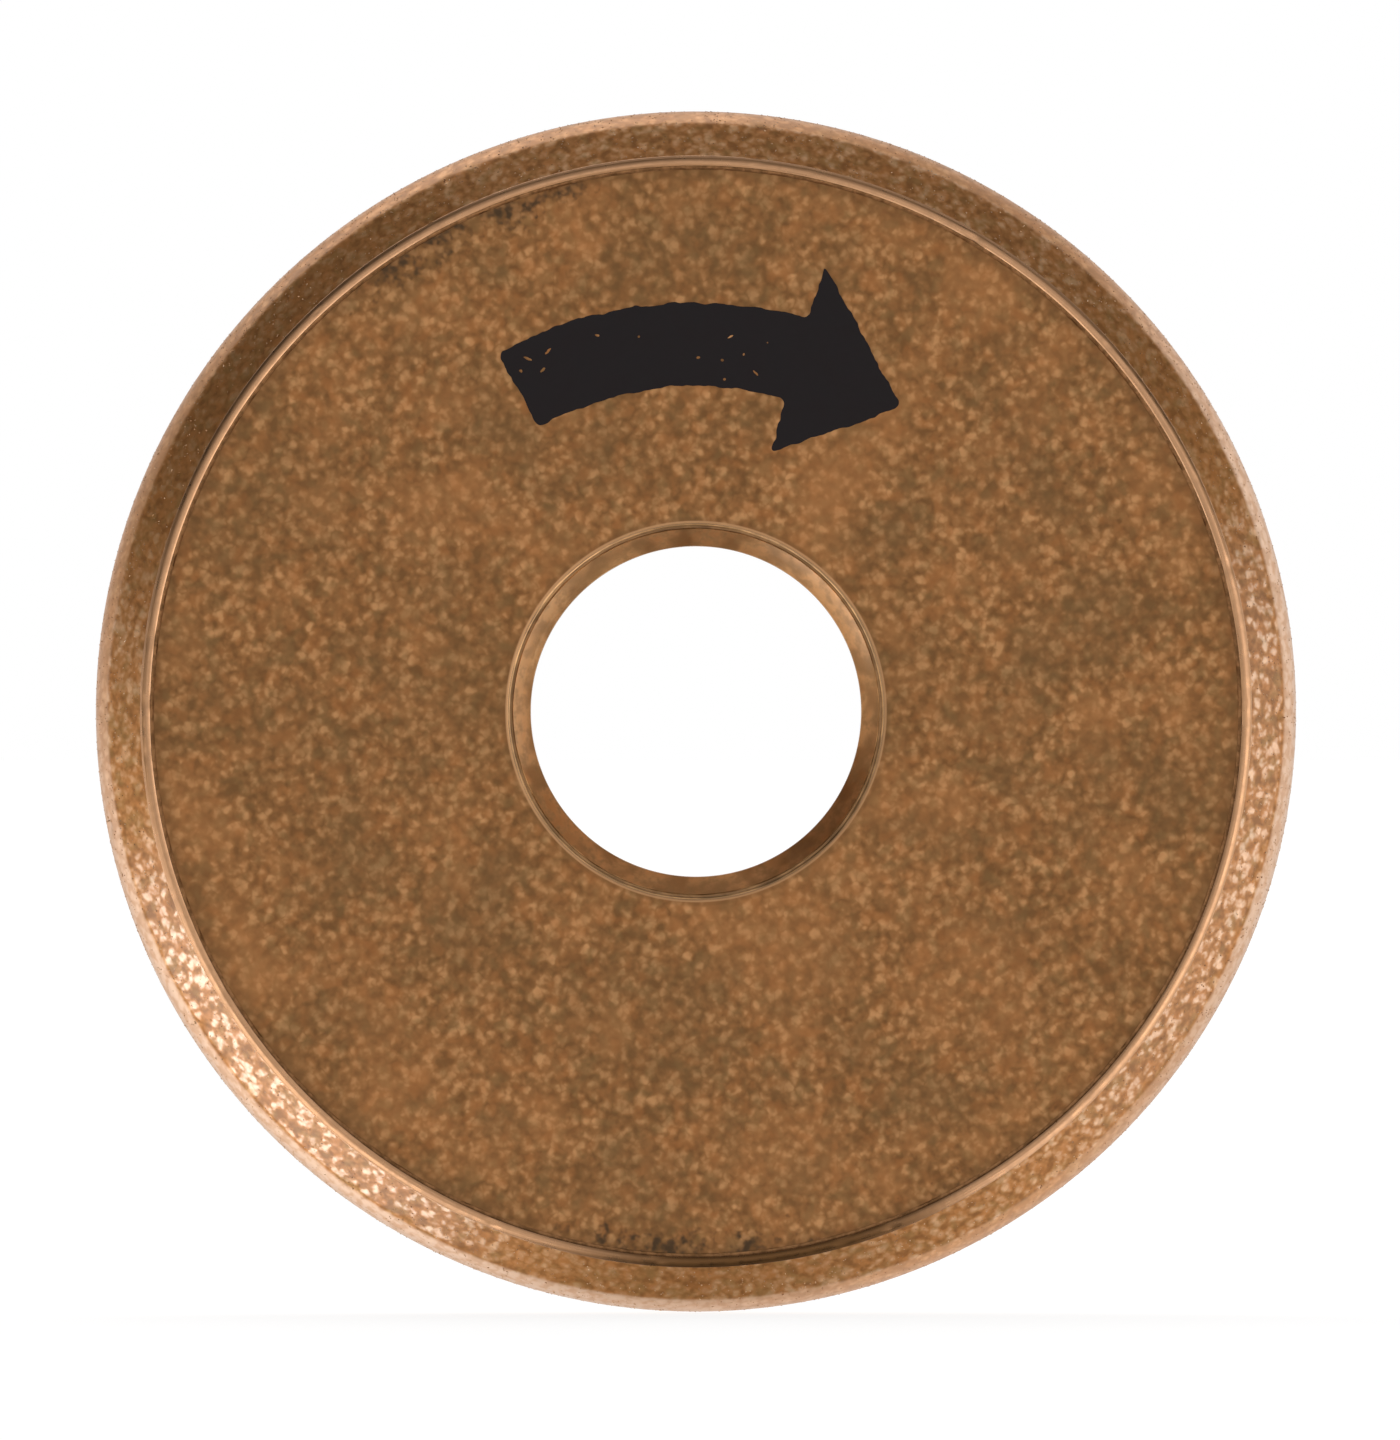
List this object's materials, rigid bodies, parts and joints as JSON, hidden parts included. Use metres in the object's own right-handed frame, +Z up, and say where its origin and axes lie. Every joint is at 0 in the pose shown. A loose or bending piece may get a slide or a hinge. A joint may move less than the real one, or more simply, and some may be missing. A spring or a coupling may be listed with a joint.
{
  "type": "diamond grinding wheel",
  "caption": "Bronze-bond diamond grinding wheel: a flat disc with a bevelled, crowned abrasive rim and a push-fit reducing bush in its central bore.",
  "frame": {"origin": "centre of the wheel: on its axis, half way between its faces", "axes": "+Y along the wheel's axis, away from the printed face; +Z up, towards the printed mark; +X to the right as seen from the printed face"},
  "size_m": [0.08, 0.01, 0.08],
  "materials": {
    "core_bronze": "mottled, satin, with a dark patina towards the rim",
    "braze": "dark, dull",
    "polished_bronze": "turned bright",
    "diamond_bond": "speckled, with exposed grit",
    "bush_bronze": "turned satin, more orange than the core",
    "diamond_grit": "bright facets of exposed crystals",
    "marking_ink": "near-black ink, worn at its edges"
  },
  "bodies": {
    "wheel": {"core_disc": "core_bronze", "braze_seam": "braze", "backing_ring": "polished_bronze", "diamond_rim": "diamond_bond"},
    "bush": {"reducing_bush": "bush_bronze"}
  },
  "joints": [
    {"name": "bush_slide", "type": "slide", "parent": "wheel", "child": "bush", "axis": [0, -1, 0], "range_m": [-0.012, 0.012]}
  ]
}
